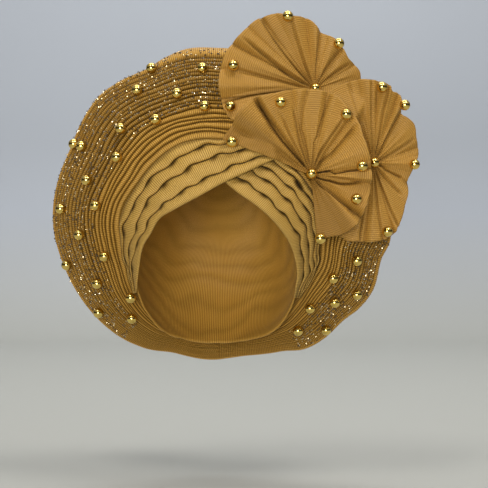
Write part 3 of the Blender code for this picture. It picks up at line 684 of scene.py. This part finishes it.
def build_fan():
    sections = [fan_section(-90 + 360 * i / FAN_STATIONS) for i in range(FAN_STATIONS)]
    rows = [[point for point, _ in section] for section in sections]
    creases = [[crease for _, crease in section] for section in sections]
    inner, step = 4, len(PLEAT_PROFILE)
    columns = [0] * inner
    for k in range(PLEAT_COUNT):
        columns += [inner + k * step + step // 2] * step
    columns += [inner + PLEAT_COUNT * step + 3] * (len(HEM_PROFILE) - 1)
    u = lengths_along(rows, columns, True)
    v = lengths_across(rows, True)
    return sheet_object("fan_cloth", rows, True, u, v, creases, FORWARD)


def band_lines(row):
    """Inner and outer edge of a band on one cross-line."""
    across, up, forward, clock, reach = row[:5]
    inner = Vector((
        across * HEAD_HALF_WIDTH, -forward * HEAD_HALF_DEPTH, (up - 1) * HEAD_HEIGHT,
    ))
    at = fan_station(clock)
    outer = FAN_CENTRE + clock_way(clock) * at.radius * reach + FORWARD * (at.forward + BAND_STAND)
    return inner, outer


def band_section(row, phase):
    """Places across one cross-line of a band, with the lift and painted crease shade of each."""
    inner, outer = band_lines(row)
    width = (outer - inner).length
    fade = min(1.0, width / (BAND_FULL_SHARE * HEAD_HALF_WIDTH))
    edges, swell, pocket = [0.0], [1.0], [0.0]
    for k, crease in enumerate(row[5:]):
        wave = sin(phase + BAND_WAVE_SHIFT * k) + 0.25 * sin(1.7 * phase + 2.3 * k)
        edges.append(crease + fade * BAND_WAVE * wave / width)
        swell.append(1 + BAND_WAVE_LIFT * wave)
        # Painted shadow pockets under a fold's edge, placed along the waves of its crease
        pocket.append(max(0.0, sin(phase + BAND_WAVE_SHIFT * k + BAND_POCKET_SHIFT)) ** 1.2)
    edges.append(1.0)
    pocket.append(0.5)
    fold = fade * BAND_FOLD_WIDTH / width
    # Painted shade at the band's inner edge here, and at its outer edge below
    found = [(0.0, 0.30, 0.6), (0.0, 0.70, 0.1), (0.01, 1.0, 0.0)]
    for k, (low, high) in enumerate(zip(edges, edges[1:])):
        if k:
            found += [
                (low + fold * tuck.across, tuck.relief * swell[k], tuck.crease) for tuck in TUCK_PROFILE
            ]
        found += [
            (low + (high - low) * place.across, place.relief * swell[k], place.crease * pocket[k + 1])
            for place in FOLD_PROFILE
        ]
    found.append((1.0, 0.1, 0.6))
    return [(inner.lerp(outer, share), lift * fade, crease) for share, lift, crease in found]


def hollow_share(point):
    """How deep in the small hollow a point of a band lies: 1 at its middle and 0 outside it."""
    x, z = point.x - HOLLOW_X, point.z - HOLLOW_Z
    along = x * cos(HOLLOW_LEAN) + z * sin(HOLLOW_LEAN)
    across = z * cos(HOLLOW_LEAN) - x * sin(HOLLOW_LEAN)
    return max(0.0, 1 - hypot(along / HOLLOW_LENGTH, across / HOLLOW_WIDTH))


def build_band(name, table, below):
    read = smooth_table([(i, *row) for i, row in enumerate(table)], 0)
    last = len(table) - 1
    lines = [read(last * i / (BAND_STATIONS - 1)) for i in range(BAND_STATIONS)]
    edges = [band_lines(line) for line in lines]
    runs = running_lengths([inner.lerp(outer, 0.5) for inner, outer in edges])
    sections = [
        band_section(line, 2 * pi * run / BAND_WAVE_LENGTH) for line, run in zip(lines, runs)
    ]
    rows = [[point for point, _, _ in section] for section in sections]
    drape(rows, below, BAND_STAND, False)
    smooth_depth(rows, 6)
    creases = []
    for row, section in zip(rows, sections):
        creases.append([])
        for point, (_, lift, crease) in zip(row, section):
            near = hollow_share(point)
            point += FORWARD * (lift * BAND_FOLD + wrinkled(point) - near * HOLLOW_DEPTH)
            # Painted shade: the hollow is darkened as well as sunk
            creases[-1].append(min(1.0, crease + 2 * near))
    width = len(rows[0])
    u = lengths_along(rows, [width // 2] * (width - 1), False)
    v = lengths_across(rows, False)
    return sheet_object(name, rows, False, u, v, creases, FORWARD)


def fold_relief(one, two, t):
    """Relief between two fold lines: sharp in a valley and round on a ridge."""
    if one <= two:
        return one + (two - one) * sin(pi / 2 * t) ** VALLEY_POWER
    return two + (one - two) * sin(pi / 2 * (1 - t)) ** VALLEY_POWER


def build_rosette(key, rosette, below):
    node = f"rosette_{key}"
    middle = bead_centre(bead_nodes(key)[-1])
    outline = smooth_table([fold[:3] for fold in rosette.folds], 0, 360 if rosette.closed else None)
    rows, creases, v = [], [], []
    for angle, relief, gather, sharp in rosette_steps(rosette):
        reach = outline(angle)[0]
        cuts = rosette_cuts(sharp, angle, reach)
        rows.append(rosette_row(middle, angle, outline(angle), relief, gather, cuts))
        # Painted shade along the row: in valleys and creases, round the middle and on flaps
        creases.append(rosette_crease_shade(relief, cuts, flap_shade(rosette.flaps, angle)))
        v.append([reach * ROSETTE_RADIUS * k / ROSETTE_RINGS for k in range(ROSETTE_RINGS + 1)])
    if rosette.closed:
        v.append(v[0])
    bring_to(node, rows)
    drape(rows, below, ROSETTE_FEELER, rosette.closed)
    u = lengths_along(rows, [ROSETTE_RINGS * 2 // 3] * ROSETTE_RINGS, rosette.closed)
    return sheet_object(
        f"{node}_cloth", rows, rosette.closed, u, v, creases, FORWARD, ROSETTE_WALL, turned=True
    )


def rosette_steps(rosette):
    """Angle, relief, count of gathers and sharp creases of each row of a rosette.

    The last row of an open rosette has no creases.
    """
    folds = list(rosette.folds)
    if rosette.closed:
        folds.append(folds[0]._replace(angle=folds[0].angle + 360))
    steps = []
    for index, (one, two) in enumerate(zip(folds, folds[1:])):
        for step in range(ROSETTE_STEPS):
            t = step / ROSETTE_STEPS
            angle = one.angle + (two.angle - one.angle) * t
            relief = fold_relief(one.relief, two.relief, t)
            steps.append((angle, relief, GATHERS * (index + t), rosette.creases))
    if not rosette.closed:
        steps.append((folds[-1].angle, folds[-1].relief, 0, []))
    return steps


def rosette_cuts(creases, angle, reach):
    """How deep sharp creases cut into a rosette at one angle."""
    cuts = [0.0] * (ROSETTE_RINGS + 1)
    for depth, left, right, *line in creases:
        rings, angles = line[::2], line[1::2]
        for k in range(ROSETTE_RINGS + 1):
            ring = k / ROSETTE_RINGS
            away = (angle - np.interp(ring, rings, angles) + 180) % 360 - 180
            across = radians(away) * ring * reach * ROSETTE_RADIUS
            near = 1 - abs(across) / (left if across > 0 else right)
            open_end = min(1.0, (ring - rings[0] + 0.06) / 0.12, (rings[-1] + 0.08 - ring) / 0.12)
            if near > 0 and open_end > 0 and abs(away) < 60:
                cuts[k] = max(cuts[k], depth * open_end * near**1.3)
    return cuts


def rosette_row(middle, angle, outline, relief, gather, cuts):
    """Points from a rosette's middle to its rim at one angle."""
    reach, dish = outline
    out = clock_way(angle) * reach * ROSETTE_RADIUS
    row = []
    for k in range(ROSETTE_RINGS + 1):
        ring = max(k / ROSETTE_RINGS, 0.01)
        fold = relief * ROSETTE_FOLD * ring**ROSETTE_FOLD_POWER
        tuck = GATHER_HEIGHT * cos(2 * pi * gather) * ring**0.7 * (1 - ring) ** 1.5 * 2
        point = middle + out * ring + FORWARD * (dish * ROSETTE_DISH * ring + fold + tuck - cuts[k])
        row.append(point + FORWARD * wrinkled(point) * ring)
    return row


def flap_shade(flaps, angle):
    """How much painted shade a rosette's flaps get at one angle."""
    shades = [0.0]
    for flap in flaps:
        inside = min(angle - flap.first, flap.last - angle) / FLAP_EDGE
        shades.append(flap.shade * min(1.0, max(0.0, inside)))
    return max(shades)


def rosette_crease_shade(relief, cuts, shade):
    """Painted shade along one row of a rosette: in its valleys, round its middle, in its creases and
    flaps.
    """
    found = []
    for k, cut in enumerate(cuts):
        ring = k / ROSETTE_RINGS
        crease = max(0.0, -relief - 0.5) * 0.6 + 0.5 * (1 - ring) ** 8 + (cut / 0.005) ** 2
        found.append(min(1.0, max(crease, shade)))
    return found


def link_new(name, points, faces, smooth):
    mesh = bpy.data.meshes.new(name)
    mesh.from_pydata(points, [], faces)
    mesh.update()
    if smooth:
        mesh.shade_smooth()
    piece = new_object(name, mesh)
    return piece


def ring_faces(one, two, sides):
    """Faces between two rings of points, from the index of the first point of each."""
    return [(one + j, one + (j + 1) % sides, two + (j + 1) % sides, two + j) for j in range(sides)]


def add_copy(points, faces, shape, move):
    """Adds a shape's points, each moved, and its faces to lists of points and faces."""
    shape_points, shape_faces = shape
    faces += [tuple(index + len(points) for index in face) for face in shape_faces]
    points += [move(point) for point in shape_points]


def bead_shape():
    """Points and faces of one drilled bead round the origin, its hole along X."""
    start = asin(BEAD_HOLE / BEAD_DIAMETER)
    points, faces = [], []
    for i in range(BEAD_RINGS + 1):
        turn = start + (pi - 2 * start) * i / BEAD_RINGS
        points += bead_ring(cos(turn) * BEAD_DIAMETER / 2, sin(turn) * BEAD_DIAMETER / 2)
    reach = cos(start) * BEAD_DIAMETER / 2
    for share in (-0.9, 0.9):
        points += bead_ring(reach * share, BEAD_HOLE / 2 * 0.8)
    rings = BEAD_RINGS + 3
    for i in range(rings):
        faces += ring_faces(i * BEAD_SIDES, (i + 1) % rings * BEAD_SIDES, BEAD_SIDES)
    return points, faces


def bead_ring(along, radius):
    return [
        Vector((along, radius * cos(turn), radius * sin(turn)))
        for turn in (2 * pi * j / BEAD_SIDES for j in range(BEAD_SIDES))
    ]


def bead_nodes(key):
    """The nodes of the beads of the fan or of a rosette, in order."""
    return sorted(name for name in NODES if name.startswith(f"{key}_bead_"))


def bead_centre(node):
    low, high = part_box(node)
    return (low + high) / 2


def build_beads(name, nodes):
    """One object that holds the beads of a group, each where its CAD node is."""
    chance = random.Random(SEED + len(nodes))
    shape = bead_shape()
    points, faces = [], []
    for node in nodes:
        turn = chance.uniform(0, pi)
        along, up = cos(turn), sin(turn)
        centre = bead_centre(node)
        add_copy(points, faces, shape, lambda p: centre + Vector((
            p.x * along - p.z * up, p.y, p.x * up + p.z * along,
        )))
    return link_new(name, points, faces, True)


def stone_shape(size):
    """Points and faces of one faceted stone on the XY plane."""
    points, faces = [], []
    for radius, height in ((1.0, 0.0), (1.0, 0.25), (0.55, 1.0)):
        for j in range(STONE_SIDES):
            turn = 2 * pi * j / STONE_SIDES
            reach = radius * STONE_DIAMETER / 2 * size
            points.append(Vector((
                reach * cos(turn), reach * sin(turn), height * STONE_HEIGHT * size,
            )))
    for level in (0, 1):
        faces += ring_faces(level * STONE_SIDES, (level + 1) * STONE_SIDES, STONE_SIDES)
    faces.append(tuple(range(2 * STONE_SIDES, 3 * STONE_SIDES)))
    faces.append(tuple(reversed(range(STONE_SIDES))))
    return points, faces


def stone_places(chance):
    """Places and outward ways of the small stones: along the pleats, and scattered on the hem."""
    beads = [bead_centre(name) for name in NODES if "bead" in name]
    found = []
    for k in range(STONE_FIRST_PLEAT, PLEAT_COUNT):
        clock, end = STONE_CLOCKS
        while clock < end:
            at = fan_station(clock)
            middle = (crease_place(k, clock) + crease_place(k + 1, clock)) / 2
            across = (1 - at.hem) * (middle + chance.uniform(-0.25, 0.25) / PLEAT_COUNT)
            radius = at.radius + at.width * FAN_WIDTH * across
            clock += degrees(STONE_SPACING * chance.uniform(0.8, 1.3) / radius)
            patch = noise.noise(Vector((k * 0.7, radians(clock) * 5, 3)))
            likely = (0.55 + 0.6 * patch) * min(1, at.width * 1.4)
            if chance.random() < likely and at.width > STONE_LEAST_WIDTH:
                found.append((at, across, STONE_LIFT * PLEAT_HEIGHT * at.width))
    for _ in range(HEM_STONES):
        at = fan_station(chance.triangular(*HEM_STONE_CLOCKS))
        share = chance.uniform(*HEM_STONE_SHARES)
        found.append((at, 1 - at.hem + at.hem * share, HEM_STONE_LIFT * HEM_HEIGHT * at.width))
    stones = []
    for at, across, relief in found:
        point = fan_point(at, across, relief)
        if min((point - bead).length for bead in beads) > STONE_CLEAR:
            ahead = fan_point(at, across, relief + 0.001) - point
            stones.append((point, ahead.normalized()))
    return stones


def build_stones(clear, dark):
    """Clear stones, and dark stones painted as stones that catch no light, as one object each."""
    chance = random.Random(SEED)
    built = {"stones_clear": ([], []), "stones_dark": ([], [])}
    for point, way in stone_places(chance):
        points, faces = built["stones_clear" if chance.random() < CLEAR_SHARE else "stones_dark"]
        shape = stone_shape(chance.uniform(*STONE_SIZES))
        lean = Vector([chance.gauss(0, STONE_LEAN) for _ in range(3)])
        turn = (way + lean).normalized().to_track_quat("Z", "Y")
        add_copy(points, faces, shape, lambda corner: point + turn @ corner)
    pieces = []
    for (name, (points, faces)), finish in zip(built.items(), (clear, dark)):
        piece = link_new(name, points, faces, False)
        piece.data.materials.append(finish)
        pieces.append(piece)
    return pieces


class Tree:
    """The nodes of a material or a world; each method adds one and gives its result."""

    def __init__(self, owner):
        owner.use_nodes = True
        self.nodes = owner.node_tree.nodes
        self.new = self.nodes.new
        self.link = owner.node_tree.links.new
        self.where = self.new("ShaderNodeTexCoord").outputs

    def math(self, kind, one, two=None):
        """A Math node of one or two numbers or sockets."""
        node = self.new("ShaderNodeMath")
        node.operation = kind
        for slot, value in zip(node.inputs, (one, two)):
            if isinstance(value, (int, float)):
                slot.default_value = value
            elif value is not None:
                self.link(value, slot)
        return node.outputs[0]

    def mix(self, share, one, two):
        """A mix of two colours, given as numbers or sockets."""
        node = self.new("ShaderNodeMix")
        node.data_type = "RGBA"
        self.link(share, node.inputs[0])
        for slot, value in ((node.inputs[6], one), (node.inputs[7], two)):
            if isinstance(value, tuple):
                slot.default_value = (*value, 1)
            else:
                self.link(value, slot)
        return node.outputs[2]

    def noise(self, vector, scale, detail=2.0):
        node = self.new("ShaderNodeTexNoise")
        node.inputs["Scale"].default_value = scale
        node.inputs["Detail"].default_value = detail
        self.link(vector, node.inputs["Vector"])
        return node.outputs["Fac"]

    def mapped(self, value, low, high):
        """A value brought from low and high to 0 and 1."""
        node = self.new("ShaderNodeMapRange")
        node.inputs["From Min"].default_value = low
        node.inputs["From Max"].default_value = high
        self.link(value, node.inputs["Value"])
        return node.outputs[0]

    def axes(self, vector):
        """The X, Y and Z of a vector."""
        node = self.new("ShaderNodeSeparateXYZ")
        self.link(vector, node.inputs[0])
        return node.outputs


def new_material(name):
    """A material, its tree and its shader."""
    made = bpy.data.materials.new(name)
    tree = Tree(made)
    return made, tree, tree.nodes["Principled BSDF"]


def cloth_material(name, rib_lit, rib_shade_and_thread, warm, crease_shade_colour):
    """Ribbed cloth with a satin sheen: ribs along U, painted shade between ribs and in creases."""
    made, tree, shader = new_material(name)
    uv = tree.new("ShaderNodeUVMap")
    uv.uv_map = "Cloth"
    place = tree.axes(uv.outputs[0])
    where = tree.where["Object"]

    drift = tree.noise(where, RIB_DRIFT_SCALE)
    slip = tree.math("MULTIPLY", drift, RIB_PITCH * RIB_DRIFT)
    along = tree.math("ADD", place["X"], slip)
    turns = tree.math("MULTIPLY", along, 2 * pi / RIB_PITCH)
    half = tree.math("MULTIPLY", tree.math("SINE", turns), 0.5)
    rib = tree.math("ADD", half, 0.5)

    thread_scale = tree.new("ShaderNodeCombineXYZ")
    for i, scale in enumerate(THREAD_SCALES):
        scaled = tree.math("MULTIPLY", place[i], scale)
        tree.link(scaled, thread_scale.inputs[i])
    thread = tree.noise(thread_scale.outputs[0], 1.0, 3.0)

    # Painted shade: between the ribs the cloth takes the darker colour, for the shade of each rib
    cloth = tree.mix(rib, rib_shade_and_thread, rib_lit)
    patch = tree.noise(where, PATCH_SCALE, 4.0)
    warmth = tree.math("MULTIPLY", tree.mapped(patch, *PATCH_RANGE), 0.5)
    toned = tree.mix(warmth, cloth, warm)
    speck = tree.math("MULTIPLY", thread, 0.6)
    threaded = tree.mix(tree.math("SUBTRACT", speck, 0.15), toned, rib_shade_and_thread)
    # Painted shade: the crease attribute mixes the dark crease colour into creases, folds and hollows
    attribute = tree.new("ShaderNodeAttribute")
    attribute.attribute_name = "crease"
    crease = attribute.outputs["Fac"]
    depth = tree.math("MULTIPLY", crease, 0.9)
    shaded = tree.mix(depth, threaded, crease_shade_colour)
    tree.link(shaded, shader.inputs["Base Color"])

    rough = tree.math("MULTIPLY", thread, 0.25)
    tree.link(tree.math("ADD", rough, 0.38), shader.inputs["Roughness"])
    height = tree.math("ADD", rib, tree.math("MULTIPLY", thread, 0.5))
    bump = tree.new("ShaderNodeBump")
    bump.inputs["Strength"].default_value = BUMP_STRENGTH
    bump.inputs["Distance"].default_value = BUMP_DEPTH
    tree.link(height, bump.inputs["Height"])
    tree.link(bump.outputs[0], shader.inputs["Normal"])
    shader.inputs["Sheen Weight"].default_value = 0.06
    shader.inputs["Sheen Roughness"].default_value = 0.4
    shader.inputs["Sheen Tint"].default_value = (1.0, 0.82, 0.5, 1)
    # Where the crease attribute paints shade, the cloth also shines less
    open_share = tree.math("SUBTRACT", 1.0, crease)
    tree.link(tree.math("MULTIPLY", open_share, 0.25), shader.inputs["Specular IOR Level"])
    return made


def gold_material():
    """Polished gold plating with faint rubbed spots."""
    made, tree, shader = new_material("Gold bead plating")
    where = tree.where["Object"]
    rubbed = tree.noise(where, 260, 3.0)
    colour = tree.mix(rubbed, (0.80, 0.55, 0.12), (0.88, 0.66, 0.20))
    tree.link(colour, shader.inputs["Base Color"])
    shine = tree.math("MULTIPLY", rubbed, 0.10)
    tree.link(tree.math("ADD", shine, 0.05), shader.inputs["Roughness"])
    shader.inputs["Metallic"].default_value = 1.0
    return made


def stone_material(name, one, two, metallic, roughness):
    """Cut glass over foil: each stone a little lighter or darker than the next."""
    made, tree, shader = new_material(name)
    where = tree.where["Object"]
    tone = tree.noise(where, 420, 0.0)
    tree.link(tree.mix(tone, one, two), shader.inputs["Base Color"])
    shader.inputs["Metallic"].default_value = metallic
    shader.inputs["Roughness"].default_value = roughness
    shader.inputs["Coat Weight"].default_value = 0.3
    return made


def floor_material():
    """Pale floor that turns to the wall's cooler colour as it rises."""
    made, tree, shader = new_material("Pale floor")
    where = tree.where["Object"]
    tone = tree.noise(where, 1.5, 3.0)
    wall = tree.mix(tone, *WALL_COLOURS)
    rise = tree.mapped(tree.axes(where)["Z"], -FLOOR_DROP, 0.0)
    tree.link(tree.mix(rise, FLOOR_COLOUR, wall), shader.inputs["Base Color"])
    shader.inputs["Roughness"].default_value = 0.8
    return made


def build_floor():
    """A pale floor that sweeps up into a wall behind."""
    profile = [(-FLOOR_REACH, -FLOOR_DROP)]
    for k in range(SWEEP_STEPS + 1):
        turn = pi / 2 * k / SWEEP_STEPS
        profile.append((
            WALL_REACH - SWEEP_RADIUS + SWEEP_RADIUS * sin(turn),
            -FLOOR_DROP + SWEEP_RADIUS * (1 - cos(turn)),
        ))
    profile.append((WALL_REACH, FLOOR_REACH))
    points = [Vector((side * FLOOR_REACH, y, z)) for y, z in profile for side in (-1, 1)]
    faces = [(2 * i, 2 * i + 1, 2 * i + 3, 2 * i + 2) for i in range(len(profile) - 1)]
    floor = link_new("floor", points, faces, True)
    floor.data.materials.append(floor_material())


def add_light(name, place, size, power, colour, aim):
    light = bpy.data.lights.new(name, "AREA")
    light.size = size
    light.energy = power
    light.color = colour
    lamp = new_object(name, light)
    lamp.location = place
    lamp.rotation_euler = (Vector(aim) - Vector(place)).to_track_quat("-Z", "Y").to_euler()


def studio_world():
    """A room for the beads to mirror: bright overhead, dark at eye level and pale below."""
    world = bpy.data.worlds.new("Soft studio")
    tree = Tree(world)
    ramp = tree.new("ShaderNodeValToRGB")
    half = tree.math("MULTIPLY", tree.axes(tree.where["Generated"])["Z"], 0.5)
    tree.link(tree.math("ADD", half, 0.5), ramp.inputs[0])
    stops = ramp.color_ramp.elements
    while len(stops) < len(ROOM_LEVELS):
        stops.new(0.5)
    for stop, (place, level) in zip(stops, ROOM_LEVELS):
        stop.position = place
        stop.color = (level, level, level, 1)
    background = tree.nodes["Background"]
    tree.link(ramp.outputs[0], background.inputs["Color"])
    background.inputs["Strength"].default_value = ROOM_STRENGTH
    return world


def build_stage():
    build_floor()
    for light in LIGHTS:
        add_light(*light)
    scene = bpy.context.scene
    scene.world = studio_world()
    scene.view_settings.view_transform = "Standard"
    lens = bpy.data.cameras.new("Camera")
    lens.lens = CAMERA_LENS
    lens.sensor_width = SENSOR
    camera = new_object("Camera", lens)
    camera.location = CAMERA_PLACE
    camera.rotation_euler = (radians(90), 0, 0)
    scene.camera = camera


def place_piece(piece, finish, slot, *nodes):
    """Gives a piece its material, attaches it to the root, and hides the CAD nodes that it stands for."""
    if finish:
        piece.data.materials.append(finish)
    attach(piece, "root")
    if nodes:
        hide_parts(*nodes)


def main():
    band_finish = cloth_material(*BAND_CLOTH)
    fan_finish = cloth_material(*FAN_CLOTH)
    rosette_finish = cloth_material(*ROSETTE_CLOTH)
    gold = gold_material()
    clear = stone_material("Clear stone", (0.80, 0.68, 0.44), (0.50, 0.36, 0.17), 0.9, 0.22)
    # Painted shade: the dark stones stand for stones that catch no light
    dark = stone_material("Unlit stone", (0.03, 0.02, 0.01), (0.10, 0.065, 0.025), 0.0, 0.3)

    cloths = {"cap": build_cap(), "fan": build_fan()}
    place_piece(cloths["cap"], fan_finish, "fan_cloth", "cap")
    place_piece(cloths["fan"], fan_finish, "fan_cloth", "fan")
    bands = (
        ("band_right", BAND_RIGHT, ["cap", "fan"]),
        ("band_left", BAND_LEFT, ["cap", "fan", "band_right"]),
    )
    for node, table, below in bands:
        band = build_band(f"{node}_cloth", table, [cloths[name] for name in below])
        place_piece(band, band_finish, "band_cloth", node)
        cloths[node] = band
    for key, rosette in ROSETTES.items():
        flower = build_rosette(key, rosette, [cloths[name] for name in rosette.below])
        place_piece(flower, rosette_finish, "rosette_cloth", f"rosette_{key}")
        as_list(rosette.below)
        cloths[f"rosette_{key}"] = flower
    for key in ("fan", *ROSETTES):
        nodes = bead_nodes(key)
        place_piece(build_beads(f"{key}_beads", nodes), gold, "gold_bead", *nodes)
    for piece in build_stones(clear, dark):
        place_piece(piece, None, "fan_cloth")
    build_stage()


main()
